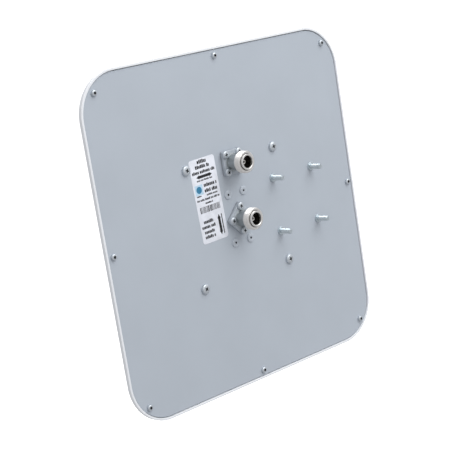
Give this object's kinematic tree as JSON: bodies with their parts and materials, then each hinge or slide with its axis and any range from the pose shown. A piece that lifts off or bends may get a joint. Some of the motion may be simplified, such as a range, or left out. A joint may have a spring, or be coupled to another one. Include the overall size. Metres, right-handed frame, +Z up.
{
  "type": "flat panel antenna",
  "caption": "Square flat panel antenna: white moulded cover, grey metal back plate, two threaded coaxial sockets and four mounting studs.",
  "frame": {"origin": "centre of the four mounting studs, on the rear face of the reflector", "axes": "+Z up, the cover faces -Y, the rear face with the sockets and studs faces +Y"},
  "size_m": [0.244, 0.0434, 0.244],
  "materials": {
    "radome_plastic": "satin moulded white, UV-stable",
    "painted_plate": "light blue-grey powder coat, satin",
    "zinc": "bright zinc plated",
    "nickel": "bright nickel plated brass",
    "silver": "silver plated",
    "ptfe": "white PTFE",
    "rubber": "dark grey silicone, matte",
    "nylon": "natural nylon",
    "laminate": "glass-fibre laminate",
    "copper": "stamped copper",
    "aluminium": "bare sheet",
    "label": "white printed polyester sticker"
  },
  "bodies": {
    "root": {"board_standoff_1": "aluminium", "board_standoff_2": "aluminium", "board_standoff_3": "aluminium", "board_standoff_4": "aluminium", "cover_screw_1": "zinc", "cover_screw_2": "zinc", "cover_screw_3": "zinc", "cover_screw_4": "zinc", "cover_screw_5": "zinc", "cover_screw_6": "zinc", "cover_screw_7": "zinc", "cover_screw_8": "zinc", "driven_patch_bottom_left": "aluminium", "driven_patch_bottom_right": "aluminium", "driven_patch_top_left": "aluminium", "driven_patch_top_right": "aluminium", "feed_board": "laminate", "lower_connector_contact": "silver", "lower_connector_insulator": "ptfe", "lower_connector_shell": "nickel", "lower_feed_strip": "copper", "lower_flange_gasket": "rubber", "lower_flange_screw_1": "zinc", "lower_flange_screw_2": "zinc", "lower_flange_screw_3": "zinc", "lower_flange_screw_4": "zinc", "mounting_stud_1": "zinc", "mounting_stud_2": "zinc", "mounting_stud_3": "zinc", "mounting_stud_4": "zinc", "parasitic_patch_bottom_left": "aluminium", "parasitic_patch_bottom_right": "aluminium", "parasitic_patch_top_left": "aluminium", "parasitic_patch_top_right": "aluminium", "patch_post_1": "nylon", "patch_post_2": "nylon", "patch_post_3": "nylon", "patch_post_4": "nylon", "patch_spacer_1": "nylon", "patch_spacer_2": "nylon", "patch_spacer_3": "nylon", "patch_spacer_4": "nylon", "post_screw_1": "zinc", "post_screw_2": "zinc", "post_screw_3": "zinc", "post_screw_4": "zinc", "radome": "radome_plastic", "rear_label": "label", "reflector": "painted_plate", "rim_seal": "rubber", "upper_connector_contact": "silver", "upper_connector_insulator": "ptfe", "upper_connector_shell": "nickel", "upper_feed_strip": "copper", "upper_flange_gasket": "rubber", "upper_flange_screw_1": "zinc", "upper_flange_screw_2": "zinc", "upper_flange_screw_3": "zinc", "upper_flange_screw_4": "zinc"}
  },
  "joints": []
}
